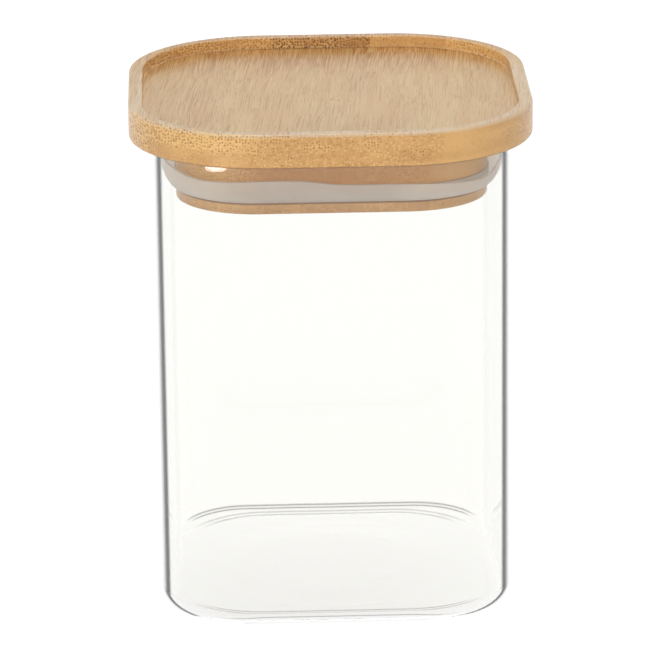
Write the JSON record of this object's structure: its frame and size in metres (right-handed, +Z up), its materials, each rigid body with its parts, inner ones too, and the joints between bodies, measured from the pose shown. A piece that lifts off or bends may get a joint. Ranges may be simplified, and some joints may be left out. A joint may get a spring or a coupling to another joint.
{
  "type": "spice jar",
  "caption": "Square clear glass spice jar with rounded corners and a bamboo lid that lifts off, sealed by a silicone ring; the lid's recess takes the base of a like jar.",
  "frame": {"origin": "middle of the jar's footprint, on the surface that it stands on", "axes": "+Z up, -Y towards the viewer of the picture's front face, +X to the right"},
  "size_m": [0.0852, 0.0852, 0.11],
  "materials": {
    "glass": "clear polished glass",
    "bamboo": "fine sanded bamboo, unvarnished",
    "silicone": "translucent white silicone, matte"
  },
  "bodies": {
    "jar": {"glass_jar": "glass"},
    "lid": {"lid_board": "bamboo", "lid_plug": "bamboo", "seal_ring": "silicone"}
  },
  "joints": [
    {"name": "lid_lift", "type": "slide", "parent": "jar", "child": "lid", "axis": [0, 0, 1], "range_m": [0, 0.09]}
  ]
}
